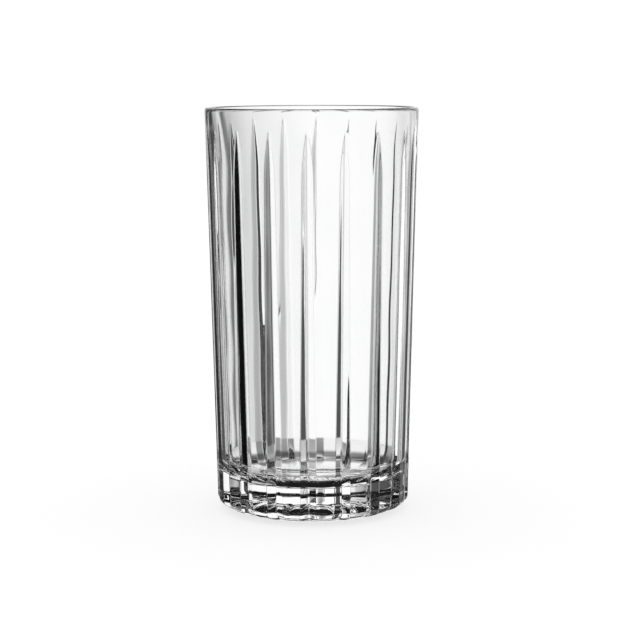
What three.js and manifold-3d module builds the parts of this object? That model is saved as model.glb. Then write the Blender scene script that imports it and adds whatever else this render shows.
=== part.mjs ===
// Highball tumbler of clear pressed glass, in one piece, with long mitre flutes round a tapered wall
import * as THREE from 'three';
import { ConvexGeometry } from 'three/addons/geometries/ConvexGeometry.js';
import { mergeVertices } from 'three/addons/utils/BufferGeometryUtils.js';
import Module from 'manifold-3d';

// Outside of the body, in millimetres, standing on the table at z = 0
const height = 146;
const mouthDiameter = 77; // over the lip
const heelDiameter = 69.5; // the straight wall carried down to the table
const heelHeight = 4.85; // round from the wall down to the foot
const footDiameter = 45.2; // outer edge of the flat ring that stands on the table
const hollowDiameter = 43.2; // inner edge of that ring, where the hollow underside begins
const hollowDepth = 5.2;
const hollowPower = 4; // flat in the middle, steeper and steeper towards the ring

// Inside of the body
const lipThickness = 2.1; // fully rounded, fire-polished edge
const upperWall = 3.15; // wall where the thinning towards the lip begins
const lipTaper = 24; // height over which the inside thins to the lip
const lowerWall = 3.05; // wall at the level of the inner floor
const baseThickness = 10.4; // from the table to the middle of the inner floor
const floorDish = 2; // rise of the inner floor from its middle to the inner corner
const innerCornerRadius = 8;

// Mitre flutes: straight V cuts that deepen downwards, from a point under the rim to an end on the heel
const fluteCount = 18;
const fluteTipDrop = 7.6; // from the rim down to the points
const fluteRunOut = 18; // height over which a flute reaches its full depth
const fluteDepthTop = 0.75;
const fluteDepthFoot = 1.5;
const fluteFlankAngle = 28; // between each flank and the wall, in degrees
const fluteHeelEnd = 0.1; // where a flute ends on the heel, as a share of its width from the foot

// Smoothness of the round forms
const turnsPerFlute = 5; // facets of the revolve between two flutes
const curveSteps = 5; // straight steps in each curve of the profile

const wasm = await Module();
wasm.setup();

const solidOf = (geometry) => {
  geometry.deleteAttribute('normal');
  geometry.deleteAttribute('uv');
  const merged = mergeVertices(geometry, 1e-4);
  const index = merged.index.array;
  const triangles = [];
  for (let i = 0; i < index.length; i += 3) {
    const [a, b, c] = index.slice(i, i + 3);
    if (a !== b && b !== c && c !== a) triangles.push(a, b, c);
  }
  return new wasm.Manifold(new wasm.Mesh({
    numProp: 3,
    vertProperties: new Float32Array(merged.attributes.position.array),
    triVerts: new Uint32Array(triangles),
  }));
};

const meshOf = (solid, name, material) => {
  const { vertProperties, triVerts } = solid.getMesh();
  const geometry = new THREE.BufferGeometry();
  geometry.setAttribute('position', new THREE.BufferAttribute(vertProperties, 3));
  geometry.setIndex(new THREE.BufferAttribute(triVerts, 1));
  geometry.computeVertexNormals();
  const mesh = new THREE.Mesh(geometry, material);
  mesh.name = name;
  return mesh;
};

// Straight outer wall, and the straight part of the inner wall, as radius by height
const wallRadius = (z) => (heelDiameter + (mouthDiameter - heelDiameter) * (z / height)) / 2;
const taperStart = height - lipTaper;
const floorEdge = baseThickness + floorDish;
const innerTop = wallRadius(taperStart) - upperWall;
const innerFoot = wallRadius(floorEdge) - lowerWall;
const innerSlope = (innerTop - innerFoot) / (taperStart - floorEdge);
const innerRadius = (z) => innerFoot + innerSlope * (z - floorEdge);

// Heel: a quarter ellipse between the foot ring and the wall
const footRadius = footDiameter / 2;
const heelWidth = wallRadius(heelHeight) - footRadius;

// Half section of the body, from the middle of the underside round to the middle of the inner floor
const halfSection = () => {
  const hollowRadius = hollowDiameter / 2;
  const lipRadius = lipThickness / 2;
  const lipLevel = height - lipRadius;
  const lipCentre = wallRadius(lipLevel) - lipRadius;
  const bendLevel = (lipLevel + taperStart) / 2;
  const wallLean = Math.atan(innerSlope);
  const corner = innerCornerRadius;
  const cornerCentre = innerRadius(floorEdge + corner) - corner / Math.cos(wallLean);
  const floorLean = Math.atan((2 * floorDish) / (cornerCentre - (2 * floorDish * corner) / cornerCentre));
  const floorRadius = cornerCentre + corner * Math.sin(floorLean);
  const floorRise = floorDish * (floorRadius / cornerCentre) ** 2;
  const cornerLevel = baseThickness + floorRise + corner * Math.cos(floorLean);
  const path = new THREE.Path();
  path.moveTo(0, hollowDepth);
  for (const share of [0.45, 0.62, 0.74, 0.84, 0.93, 1]) {
    path.lineTo(hollowRadius * share, hollowDepth * (1 - share ** hollowPower));
  }
  path.lineTo(footRadius, 0);
  path.absellipse(footRadius, heelHeight, heelWidth, heelHeight, -Math.PI / 2, 0);
  path.lineTo(wallRadius(lipLevel), lipLevel);
  path.absarc(lipCentre, lipLevel, lipRadius, 0, Math.PI);
  path.quadraticCurveTo(innerRadius(bendLevel), bendLevel, innerTop, taperStart);
  path.absarc(cornerCentre, cornerLevel, corner, -wallLean, floorLean - Math.PI / 2, true);
  path.quadraticCurveTo(floorRadius / 2, baseThickness, 0, baseThickness);
  return path.getPoints(curveSteps);
};

const revolve = () => {
  const segments = fluteCount * turnsPerFlute;
  const geometry = new THREE.LatheGeometry(halfSection(), segments);
  geometry.rotateX(Math.PI / 2);
  geometry.rotateZ(Math.PI / segments); // a facet, not an edge, lies under each flute
  return solidOf(geometry);
};

// Stations along one flute, from its point down the wall and round the heel to its end:
// the place on the outside, the outward direction there, and the depth of the cut
const fluteStations = () => {
  const tipLevel = height - fluteTipDrop;
  const deepening = (fluteDepthFoot - fluteDepthTop) / tipLevel;
  const depthAt = (z) => {
    const leave = Math.min((tipLevel - z) / fluteRunOut, 1);
    return (fluteDepthTop + deepening * (tipLevel - z)) * (1 - (1 - leave) ** 2);
  };
  const stations = [];
  for (let i = 0; i <= curveSteps; i += 1) {
    const z = tipLevel - fluteRunOut * (i / curveSteps);
    stations.push({
      place: new THREE.Vector3(wallRadius(z), 0, z),
      out: new THREE.Vector3(1, 0, 0),
      depth: depthAt(z),
    });
  }
  const lastTurn = Math.asin(fluteHeelEnd);
  for (let i = 0; i <= curveSteps; i += 1) {
    const turn = Math.PI / 2 + (lastTurn - Math.PI / 2) * (i / curveSteps);
    const x = Math.sin(turn);
    const z = 1 - Math.cos(turn);
    stations.push({
      place: new THREE.Vector3(footRadius + heelWidth * x, 0, heelHeight * z),
      out: new THREE.Vector3(x / heelWidth, 0, (z - 1) / heelHeight).normalize(),
      depth: depthAt(heelHeight) * ((x - fluteHeelEnd) / (1 - fluteHeelEnd)) ** 2,
    });
  }
  return stations;
};

// V across one station: its root, and both flanks carried on beyond the surface
const fluteSection = ({ place, out, depth }) => {
  const beyond = fluteDepthTop;
  const rise = Math.tan(THREE.MathUtils.degToRad(fluteFlankAngle));
  const halfWidth = new THREE.Vector3(0, (depth + beyond) / rise, 0);
  const root = place.clone().addScaledVector(out, -depth);
  const middle = place.clone().addScaledVector(out, beyond);
  return [root, middle.clone().add(halfWidth), middle.clone().sub(halfWidth)];
};

// One V cut, as a row of wedges from station to station
const flute = (angle) => {
  const sections = fluteStations().map(fluteSection);
  let cut = null;
  for (let i = 1; i < sections.length; i += 1) {
    const geometry = new ConvexGeometry([...sections[i - 1], ...sections[i]]);
    geometry.rotateZ(angle);
    const wedge = solidOf(geometry);
    cut = cut ? cut.add(wedge) : wedge;
  }
  return cut;
};

// Tumbler with its flutes spaced evenly from the front
const tumbler = () => {
  let body = revolve();
  for (let i = 0; i < fluteCount; i += 1) {
    body = body.subtract(flute(-Math.PI / 2 + (i * 2 * Math.PI) / fluteCount));
  }
  return body;
};

const clearGlass = new THREE.MeshStandardMaterial({
  color: 0xf4f6f6,
  roughness: 0.03,
  metalness: 0,
  transparent: true,
  opacity: 0.35,
});

const waterGlass = new THREE.Group();
waterGlass.name = 'water_glass';
waterGlass.add(meshOf(tumbler(), 'tumbler_body', clearGlass));

export default waterGlass;
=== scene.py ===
import math

import bpy
import numpy as np
from mathutils import Matrix


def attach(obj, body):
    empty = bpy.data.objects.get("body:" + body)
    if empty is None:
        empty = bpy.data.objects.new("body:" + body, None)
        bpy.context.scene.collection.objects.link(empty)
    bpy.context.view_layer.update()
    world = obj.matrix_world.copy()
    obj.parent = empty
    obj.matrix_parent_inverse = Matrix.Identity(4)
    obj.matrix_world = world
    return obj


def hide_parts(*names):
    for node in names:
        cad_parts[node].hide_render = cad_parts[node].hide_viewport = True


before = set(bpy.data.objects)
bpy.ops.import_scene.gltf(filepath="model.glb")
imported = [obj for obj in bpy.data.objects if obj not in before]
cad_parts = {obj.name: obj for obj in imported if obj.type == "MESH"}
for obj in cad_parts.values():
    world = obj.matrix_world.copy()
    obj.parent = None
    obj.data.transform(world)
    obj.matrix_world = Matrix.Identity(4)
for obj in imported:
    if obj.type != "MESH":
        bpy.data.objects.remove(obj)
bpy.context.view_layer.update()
print("frame loaded, nodes:", sorted(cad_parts))

millimetre = 0.001
photoBearing = 2.74  # the photo's camera, in degrees round from the front of the glass

# Tumbler, all lengths in millimetres
tumblerForm = {
    "height": 146.0,
    "mouthRadius": 38.5,  # the straight outer wall carried up to the rim
    "heelRadius": 34.75,  # the same wall carried down to the table
    "heelHeight": 4.85,  # round from the wall to the foot
    "footRadius": 22.6,
    "hollowRadius": 21.6,  # dome in the underside
    "hollowDepth": 5.2,
    "hollowPower": 4.0,  # flat in the middle, steeper towards its edge
    "hollowLobe": 2.0,  # how far its edge is drawn in between the flutes
    "lipRadius": 1.05,
    "lipThinning": 1.05,  # what the inside takes off the wall towards the lip
    "lipTaper": 24.0,  # height over which it does so
    "lowerWall": 3.05,  # thickness of the wall at the inner floor
    "baseThickness": 10.4,
    "floorDish": 2.0,  # rise of the inner floor from its middle to the corner
    "innerCorner": 8.0,
    "fluteCount": 18,
    "fluteTip": 138.4,
    "fluteRunOut": 18.0,  # height over which a flute reaches its full depth
    "fluteDepthTop": 0.75,
    "fluteDepthFoot": 1.5,
    "fluteFlank": 27.9,  # between each flank and the wall, in degrees
    "edgeSoftness": 0.14,
    "heelSoftness": 0.12,  # what is added to it on the heel
    "heelStop": 0.1,  # where the flutes end on the heel, as a share of its width from the foot
    "heelFan": 0.65,  # how much the flutes widen on the heel
    "ripple": 0.02,  # unevenness of the inner wall left by the plunger
    "rippleWaves": [(5, 7.3, 0.0), (9, -11.0, 1.7), (14, 5.1, 0.6)],  # count round, pace upwards, start
    "rippleStart": 12.0,  # height over which the waves set in above the inner corner
    "rippleEnd": (4.0, 10.0),  # how far under the rim they end, and over which height
}

# Its grid: rows along the profile, and columns round one flute
tumblerGrid = {
    "hollow": 14,
    "footRing": 4,
    "heel": 23,
    "wall": 12,
    "fluteRunOut": 21,
    "lip": 14,
    "lipTaper": 13,
    "innerWall": 30,
    "innerCorner": 19,
    "innerFloor": 13,
    "aboveHeel": (0.0, 0.7, 2.1),  # closer rows at the ends of the wall, so that its shading stays even
    "aboveTips": (0.3, 1.2, 3.5),
    "underLip": (1.2, 0.3, 0.0),
    "wallEnds": (5.0, 1.0),  # the wide rows start above the heel and stop below the run-out
    "flank": (0.0, 0.02, 0.06, 0.14, 0.3, 0.5, 0.7, 0.86, 0.95, 0.985),  # from the root to the edge
    "panel": (0.0, 0.015, 0.05, 0.13, 0.3, 0.5, 0.75),  # from the edge to the middle of the panel
    "narrowest": 0.3,  # half width that the flank columns keep where there is no flute
    "widest": 0.94,  # share of the pitch that they take at most
}


def wallRadius(form, z):
    # Straight outer wall: the radius grows evenly from the table to the rim.
    return form["heelRadius"] + (form["mouthRadius"] - form["heelRadius"]) * z / form["height"]


def fluteDepth(form, z):
    # Depth grows evenly down the wall, times a parabola that rises from the points to one.
    tip = form["fluteTip"]
    below = np.clip((tip - z) / tip, 0.0, 1.0)
    leave = np.clip((tip - z) / form["fluteRunOut"], 0.0, 1.0)
    full = form["fluteDepthTop"] + (form["fluteDepthFoot"] - form["fluteDepthTop"]) * below
    return full * (1 - (1 - leave) ** 2)


def profileRows(form, grid):
    # Half section from the middle of the underside, round the outside, over the lip and down to the
    # inner floor. Each row: radius, height, depth of the flute, outward direction of the cut, share of
    # the lobes of the hollow underside, and how far it lies on the inside.
    lip = form["lipRadius"]
    lipLevel = form["height"] - lip
    tip, run = form["fluteTip"], form["fluteRunOut"]
    rows = []

    def add(radius, level, depth=0.0, outR=1.0, outZ=0.0, hollow=0.0, inside=0.0):
        columns = np.broadcast_arrays(radius, level, depth, outR, outZ, hollow, inside)
        rows.append(np.stack(columns, 1).astype(float))

    # underside: a dome that falls with a power of the radius, then the flat ring that stands on the table
    u = np.linspace(0.0, 1.0, grid["hollow"])
    add(form["hollowRadius"] * u, form["hollowDepth"] * (1 - u ** form["hollowPower"]), hollow=u ** 2)
    add(np.linspace(form["hollowRadius"], form["footRadius"], grid["footRing"])[1:-1], 0.0)

    # heel: a quarter ellipse, on which the flutes grow shallower and end before the foot
    low = form["heelHeight"]
    turn = np.linspace(0.0, np.pi / 2, grid["heel"])[:-1]
    width = wallRadius(form, low) - form["footRadius"]
    outR, outZ = np.sin(turn) / width, -np.cos(turn) / low
    outR, outZ = outR / np.hypot(outR, outZ), outZ / np.hypot(outR, outZ)
    share = np.clip((np.sin(turn) - form["heelStop"]) / (1 - form["heelStop"]), 0.0, 1.0)
    add(form["footRadius"] + width * np.sin(turn), low * (1 - np.cos(turn)),
        fluteDepth(form, low) * share ** 2, outR, outZ)

    # straight wall
    wideStart, wideStop = grid["wallEnds"]
    level = np.concatenate([
        low + np.array(grid["aboveHeel"]),
        np.linspace(low + wideStart, tip - run - wideStop, grid["wall"]),
        np.linspace(tip - run, tip, grid["fluteRunOut"]),
        tip + np.array(grid["aboveTips"]),
        lipLevel - np.array(grid["underLip"]),
    ])
    add(wallRadius(form, level), level, fluteDepth(form, level))

    # lip: a half round
    arc = np.linspace(0.0, np.pi, grid["lip"])[1:-1]
    lipCentre = wallRadius(form, lipLevel) - lip
    add(lipCentre + lip * np.cos(arc), lipLevel + lip * np.sin(arc), inside=arc / np.pi)

    # where the inner wall, the round of the inner corner and the dished floor meet without a ridge
    dish, corner = form["floorDish"], form["innerCorner"]
    floorEdge = form["baseThickness"] + dish
    innerTop = lipCentre - lip - form["lipThinning"]
    innerLow = wallRadius(form, floorEdge) - form["lowerWall"]
    slope = (innerTop - innerLow) / (lipLevel - floorEdge)
    cornerCentre = innerLow + slope * corner - corner
    lean = math.atan(2 * dish / (cornerCentre - 2 * dish * corner / cornerCentre))
    floorRadius = cornerCentre + corner * math.sin(lean)
    floorRise = dish * (floorRadius / cornerCentre) ** 2
    cornerLevel = form["baseThickness"] + floorRise + corner * math.cos(lean)

    # inner wall: straight, with the thinning towards the lip added as a parabola
    taperStart = form["height"] - form["lipTaper"]
    level = np.concatenate([
        np.linspace(lipLevel, taperStart, grid["lipTaper"])[:-1],
        np.linspace(taperStart, cornerLevel, grid["innerWall"]),
    ])
    thin = np.clip((lipLevel - level) / (form["lipTaper"] - lip), 0.0, 1.0)
    add(innerLow + slope * (level - floorEdge) + form["lipThinning"] * (1 - thin) ** 2, level, inside=1.0)

    # inner corner: part of a circle, then the floor as a parabola in to its middle
    arc = np.linspace(0.0, np.pi / 2 - lean, grid["innerCorner"])[1:]
    add(cornerCentre + corner * np.cos(arc), cornerLevel - corner * np.sin(arc), inside=1.0)
    w = 1 - np.linspace(0.0, 1.0, grid["innerFloor"])[1:]
    add(floorRadius * w, form["baseThickness"] + floorRise * w ** 2, inside=1.0)
    return np.concatenate(rows)


def tumblerSurface(form, grid):
    # Rows along the profile by columns round the axis. Within one flute the columns follow its flanks:
    # cut = depth less the distance from the mid-plane times the slope of the flank, softly held at zero
    # on the panels.
    radius, level, depth, outR, outZ, hollow, inside = [c[:, None] for c in profileRows(form, grid).T]
    count = form["fluteCount"]
    pitch = 2 * np.pi / count
    rise = math.tan(math.radians(form["fluteFlank"])) * outR ** form["heelFan"] + 1e-3  # never zero
    halfWidth = np.maximum(depth / rise, grid["narrowest"])
    sine = halfWidth / np.maximum(radius, 1.0)  # safe at the axis
    edge = np.arcsin(np.minimum(sine, grid["widest"] * np.sin(pitch / 2)))

    # columns of one pitch, from root to root: bunched at the flute outside, evenly spread inside
    flank, panel = np.array([grid["flank"]]), np.array([grid["panel"]])
    half = np.concatenate([edge * flank, edge + (pitch / 2 - edge) * panel], axis=1)
    even = np.linspace(0.0, pitch / 2, half.shape[1], endpoint=False)[None]
    half = half * (1 - inside) + even * inside
    local = np.concatenate([half, pitch / 2 + 0 * edge, pitch - half[:, :0:-1]], axis=1)

    # V of the flute, its root and edges rounded by the softness
    side = radius * np.sin(np.minimum(local, pitch - local))
    soft = form["edgeSoftness"] + form["heelSoftness"] * (1 - outR)
    cut = depth - (np.sqrt(side ** 2 + soft ** 2) - soft) * rise
    rounded = 0.5 * (cut + np.sqrt(cut ** 2 + (0.5 * soft) ** 2))
    cut = np.where((depth > 0) & (cut > -5 * soft), rounded, 0.0)
    lobe = 0.5 - 0.5 * np.cos(2 * np.pi * local / pitch)  # none at the flutes, one between them
    shape = radius - cut * outR - form["hollowLobe"] * hollow * lobe

    # the same pitch all round
    size = len(radius)
    theta = (local[:, None, :] + (np.arange(count) * pitch)[None, :, None]).reshape(size, -1)
    shape = np.tile(shape[:, None, :], (1, count, 1)).reshape(size, -1)
    z = np.tile((level - cut * outZ)[:, None, :], (1, count, 1)).reshape(size, -1)

    # inner wall: the mean of a few slow sine waves, fading out at the lip and at the corner
    cornerTop = form["baseThickness"] + form["floorDish"] + form["innerCorner"]
    endDrop, endHeight = form["rippleEnd"]
    fade = np.clip((z - cornerTop) / form["rippleStart"], 0, 1)
    fade = fade * np.clip((form["height"] - endDrop - z) / endHeight, 0, 1)
    waves = [np.sin(around * theta + z / pace + start) for around, pace, start in form["rippleWaves"]]
    shape = shape + form["ripple"] * (sum(waves) / len(waves)) * fade * (inside == 1)
    return np.stack([shape * np.sin(theta), -shape * np.cos(theta), z], -1)


def closedMesh(name, grid):
    # Rows become bands of quads round the axis; the first and last rows are single points closed with fans.
    inner = grid[1:-1]
    rowCount, columnCount = inner.shape[:2]
    points = np.concatenate([inner.reshape(-1, 3), grid[:1, 0], grid[-1:, 0]]) * millimetre
    index = np.arange(rowCount * columnCount).reshape(rowCount, columnCount)
    after = np.roll(index, -1, axis=1)
    quads = np.stack([index[:-1], after[:-1], after[1:], index[1:]], -1).reshape(-1, 4)
    bottomPole, topPole = len(points) - 2, len(points) - 1
    bottomFan = np.stack([np.full(columnCount, bottomPole), after[0], index[0]], -1)
    topFan = np.stack([np.full(columnCount, topPole), index[-1], after[-1]], -1)
    fans = np.concatenate([bottomFan, topFan])
    corners = np.concatenate([quads.ravel(), fans.ravel()]).astype(np.int32)
    fanStarts = len(quads) * 4 + np.arange(len(fans)) * 3
    starts = np.concatenate([np.arange(len(quads)) * 4, fanStarts]).astype(np.int32)
    mesh = bpy.data.meshes.new(name)
    mesh.vertices.add(len(points))
    mesh.vertices.foreach_set("co", points.astype(np.float32).ravel())
    mesh.loops.add(len(corners))
    mesh.loops.foreach_set("vertex_index", corners)
    mesh.polygons.add(len(starts))
    mesh.polygons.foreach_set("loop_start", starts)
    mesh.polygons.foreach_set("use_smooth", np.ones(len(starts), bool))
    mesh.update(calc_edges=True)
    mesh.validate()
    piece = bpy.data.objects.new(name, mesh)
    bpy.context.scene.collection.objects.link(piece)
    return piece


def addNode(tree, kind, **settings):
    node = tree.nodes.new(kind)
    for key, value in settings.items():
        setattr(node, key, value)
    return node


def rampNode(tree, stops, low, high):
    # Colour ramp of greys or colours, its stops given in the unit of what drives it
    scale = addNode(tree, "ShaderNodeMapRange")
    scale.inputs["From Min"].default_value = low
    scale.inputs["From Max"].default_value = high
    ramp = addNode(tree, "ShaderNodeValToRGB")
    tree.links.new(scale.outputs[0], ramp.inputs[0])
    elements = ramp.color_ramp.elements
    while len(elements) > 1:
        elements.remove(elements[0])
    for number, (place, tone) in enumerate(stops):
        spot = (place - low) / (high - low)
        element = elements[0] if number == 0 else elements.new(spot)
        element.position = spot
        element.color = (*tone, 1) if hasattr(tone, "__len__") else (tone, tone, tone, 1)
    return scale, ramp


# Clear glass: colourless, with hardly visible streaks from the melt
clearGlassLook = {
    "ior": 1.52,
    "roughness": 0.0,
    "streakScale": 38.0,
    "streakDetail": 2.0,
    "streakTones": [(0.35, (0.985, 0.99, 0.988)), (0.65, (1.0, 1.0, 1.0))],
}


def clearGlass(look):
    material = bpy.data.materials.new("clear_glass")
    material.use_nodes = True
    tree = material.node_tree
    shader = tree.nodes["Principled BSDF"]
    shader.inputs["Roughness"].default_value = look["roughness"]
    shader.inputs["IOR"].default_value = look["ior"]
    shader.inputs["Transmission Weight"].default_value = 1.0
    place = addNode(tree, "ShaderNodeTexCoord")
    noise = addNode(tree, "ShaderNodeTexNoise")
    noise.inputs["Scale"].default_value = look["streakScale"]
    noise.inputs["Detail"].default_value = look["streakDetail"]
    scale, ramp = rampNode(tree, look["streakTones"], 0.0, 1.0)
    tree.links.new(place.outputs["Object"], noise.inputs["Vector"])
    tree.links.new(noise.outputs["Fac"], scale.inputs["Value"])
    tree.links.new(ramp.outputs["Color"], shader.inputs["Base Color"])
    return material


tumbler = closedMesh("tumbler", tumblerSurface(tumblerForm, tumblerGrid))
tumbler.data.materials.append(clearGlass(clearGlassLook))
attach(tumbler, "root")
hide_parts("tumbler_body")
print("tumbler:", len(tumbler.data.vertices), "points,", len(tumbler.data.polygons), "faces")

# Pale table: bright by itself, with a little shade left from the light that falls on it
tableLook = {
    "radius": 1.6,  # in metres
    "corners": 128,
    "drop": 0.05,  # gap under the foot, in millimetres
    "shadeTone": 0.30,
    "glow": 0.74,
}


def paleTable(look):
    # A flat disc just under the foot; the glass shows the studio instead of it
    turn = np.linspace(0, 2 * np.pi, look["corners"] + 1)[:-1]
    points = np.stack([np.cos(turn), np.sin(turn), 0 * turn], -1) * look["radius"]
    mesh = bpy.data.meshes.new("table")
    mesh.from_pydata(points.tolist(), [], [tuple(range(len(turn)))])
    table = bpy.data.objects.new("table", mesh)
    bpy.context.scene.collection.objects.link(table)
    table.location.z = -look["drop"] * millimetre
    table.visible_transmission = False
    table.visible_glossy = False
    material = bpy.data.materials.new("pale_table")
    material.use_nodes = True
    tree = material.node_tree
    tree.nodes.clear()
    output = addNode(tree, "ShaderNodeOutputMaterial")
    matt = addNode(tree, "ShaderNodeBsdfDiffuse")
    matt.inputs["Color"].default_value = (look["shadeTone"],) * 3 + (1,)
    glow = addNode(tree, "ShaderNodeEmission")
    glow.inputs["Strength"].default_value = look["glow"]
    both = addNode(tree, "ShaderNodeAddShader")
    tree.links.new(matt.outputs[0], both.inputs[0])
    tree.links.new(glow.outputs[0], both.inputs[1])
    tree.links.new(both.outputs[0], output.inputs["Surface"])
    mesh.materials.append(material)
    return table


paleTable(tableLook)
print("table placed")

# Studio: a white backdrop with dark flags at its sides, and pale panels all round and below for the other
# views. Bearings run clockwise from the backdrop behind the glass and heights up from the horizon, both in
# degrees. Tones are strengths, of which 1 is white.
studioLight = {
    "backdrop": [  # tone by bearing, seen straight through the glass
        (-180, 0.0), (-52, 0.0), (-50, 0.9), (-43.5, 0.9), (-41.5, 0.08), (-24, 0.1), (-21, 0.5),
        (-17, 0.6), (-15, 1.0), (-12.7, 1.0), (-12, 0.18), (-9.6, 0.18), (-9, 0.6), (-4, 0.95),
        (0, 1.15), (20, 1.15), (33, 1.0), (38, 0.3), (42, 0.3), (44, 0.7), (48, 0.35), (54, 0.3),
        (57, 0.0), (180, 0.0),
    ],
    "backdropWidth": [(-180, 0), (-85, 0), (-75, 1), (75, 1), (85, 0), (180, 0)],
    "backdropHeight": [(-90, 0), (-15, 0), (-12.5, 1), (90, 1)],
    "panelCount": 8,  # pale panels round the table, seen beside and under the backdrop
    "panelTones": (0.3, 1.05),
    "shade": [(-90, 1), (-62, 1), (-55, 0.3), (-40, 0.3), (-33, 1), (20, 1), (30, 0), (90, 0)],  # by height
    "shadeWidth": [(-180, 0), (-36, 0), (-22, 1), (22, 1), (36, 0), (180, 0)],
    "mirrored": [  # tone by bearing, seen mirrored in the glass
        (-180, 0.0), (-42, 0.0), (-38, 0.08), (-24, 0.1), (-21, 0.6), (-14, 0.8), (-11, 0.3), (-9, 0.6),
        (-4, 0.95), (0, 1.15), (20, 1.15), (33, 1.0), (38, 0.3), (42, 0.3), (44, 0.7), (54, 0.6),
        (57, 0.0), (76, 0.0), (84, 0.2), (105, 0.2), (125, 0.0), (180, 0.0),
    ],
    "mirroredHeight": [(-90, 0), (-40, 0), (-33, 1), (20, 1), (30, 0), (90, 0)],
    "mirroredPanels": [  # share of the panels by height, mostly for the views from above
        (-90, 0.8), (-55, 0.8), (-45, 0), (-40, 0), (-33, 0.1), (20, 0.1), (30, 0), (90, 0),
    ],
    "gloom": 0.01,  # what is left in the dark parts
    "tableLight": 0.95,  # soft light on the table
}


def studioWorld(light):
    world = bpy.data.worlds.new("studio")
    bpy.context.scene.world = world
    world.use_nodes = True
    tree = world.node_tree
    tree.nodes.clear()
    link = tree.links.new

    def maths(operation, first, second=None):
        node = addNode(tree, "ShaderNodeMath", operation=operation)
        for socket, value in zip(node.inputs, (first, second)):
            if isinstance(value, (int, float)):
                socket.default_value = value
            elif value is not None:
                link(value, socket)
        return node.outputs[0]

    def blend(factor, first, second):
        return maths("ADD", first, maths("MULTIPLY", factor, maths("SUBTRACT", second, first)))

    direction = addNode(tree, "ShaderNodeTexCoord")
    axes = addNode(tree, "ShaderNodeSeparateXYZ")
    link(direction.outputs["Generated"], axes.inputs[0])
    turn = maths("DEGREES", maths("ARCTAN2", axes.outputs["X"], axes.outputs["Y"]))
    bearing = maths("ADD", turn, photoBearing)
    height = maths("DEGREES", maths("ARCSINE", axes.outputs["Z"]))

    def byBearing(name):
        scale, ramp = rampNode(tree, light[name], -180, 180)
        link(bearing, scale.inputs["Value"])
        return ramp.outputs["Color"]

    def byHeight(name):
        scale, ramp = rampNode(tree, light[name], -90, 90)
        link(height, scale.inputs["Value"])
        return ramp.outputs["Color"]

    # panels: a cosine of the bearing between their darkest and brightest tone
    wave = maths("COSINE", maths("MULTIPLY", bearing, math.radians(light["panelCount"])))
    darkest, brightest = light["panelTones"]
    swing = maths("MULTIPLY", wave, (brightest - darkest) / 2)
    panels = maths("ADD", (brightest + darkest) / 2, swing)

    # light that came straight through: backdrop in front, panels elsewhere, less from above and in the shade
    inFront = byBearing("backdropWidth")
    onBackdrop = maths("MULTIPLY", inFront, byHeight("backdropHeight"))
    around = blend(onBackdrop, panels, byBearing("backdrop"))
    shaded = blend(byBearing("shadeWidth"), 1.0, byHeight("shade"))
    straight = blend(shaded, light["gloom"], around)

    # light that was mirrored inside the glass or on it
    front = blend(byHeight("mirroredHeight"), light["gloom"], byBearing("mirrored"))
    beside = blend(byHeight("mirroredPanels"), light["gloom"], panels)
    mirrored = blend(inFront, beside, front)

    # the table gets an even light, and the camera itself sees white
    path = addNode(tree, "ShaderNodeLightPath")
    wasMirrored = maths("GREATER_THAN", path.outputs["Glossy Depth"], 0.5)
    seen = blend(wasMirrored, straight, mirrored)
    seen = blend(path.outputs["Is Diffuse Ray"], seen, light["tableLight"])
    seen = blend(path.outputs["Is Camera Ray"], seen, 1.0)
    background = addNode(tree, "ShaderNodeBackground")
    link(seen, background.inputs["Color"])
    output = addNode(tree, "ShaderNodeOutputWorld")
    link(background.outputs[0], output.inputs[0])


studioWorld(studioLight)
print("studio lit")

# Camera, placed from the outline of the glass; lengths in millimetres, angles in degrees
photoCamera = {
    "distance": 700.0,
    "level": 160.34,
    "tilt": 7.22,
    "roll": -0.19,
    "focal": 1940.0,  # in pixels of a picture 625 wide
    "pixels": 625,
    "sensorWidth": 36.0,
    "nearest": 10.0,
}


def placeCamera(view):
    data = bpy.data.cameras.new("photo_camera")
    camera = bpy.data.objects.new("photo_camera", data)
    bpy.context.scene.collection.objects.link(camera)
    bearing = math.radians(photoBearing)
    aim = Matrix.Rotation(bearing, 4, "Z") @ Matrix.Rotation(math.radians(90 - view["tilt"]), 4, "X")
    aim = aim @ Matrix.Rotation(math.radians(view["roll"]), 4, "Z")
    away = view["distance"]
    spot = np.array([math.sin(bearing) * away, -math.cos(bearing) * away, view["level"]])
    camera.matrix_world = Matrix.Translation((spot * millimetre).tolist()) @ aim
    data.sensor_width = view["sensorWidth"]
    data.lens = data.sensor_width * view["focal"] / view["pixels"]
    data.clip_start = view["nearest"] * millimetre
    bpy.context.scene.camera = camera


placeCamera(photoCamera)
print("camera placed")

scene = bpy.context.scene
scene.view_settings.view_transform = "Standard"
scene.cycles.max_bounces = 32
scene.cycles.transmission_bounces = 32
scene.cycles.glossy_bounces = 16
